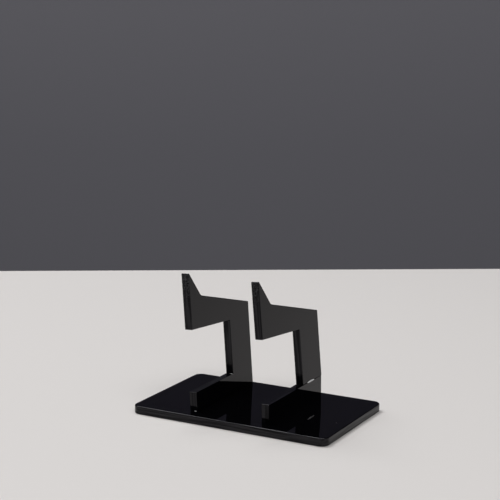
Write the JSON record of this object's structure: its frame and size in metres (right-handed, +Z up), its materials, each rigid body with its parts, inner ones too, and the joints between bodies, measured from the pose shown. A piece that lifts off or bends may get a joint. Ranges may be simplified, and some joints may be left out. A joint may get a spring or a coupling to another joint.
{
  "type": "game controller stand",
  "caption": "Flat base plate with two upright sheet brackets whose sloping arms and front prongs cradle a game controller.",
  "frame": {"origin": "on the table, under the middle of the base plate", "axes": "+Z up, +X to the right seen from the front, +Y to the rear, away from the prongs"},
  "size_m": [0.104, 0.062, 0.0705],
  "materials": {
    "plate_acrylic": "polished black acrylic sheet",
    "sheet_acrylic": "polished black acrylic sheet, flame polished edges"
  },
  "bodies": {
    "root": {"base_plate": "plate_acrylic", "left_foot_rail": "sheet_acrylic", "left_bracket": "sheet_acrylic", "right_foot_rail": "sheet_acrylic", "right_bracket": "sheet_acrylic"}
  },
  "joints": []
}
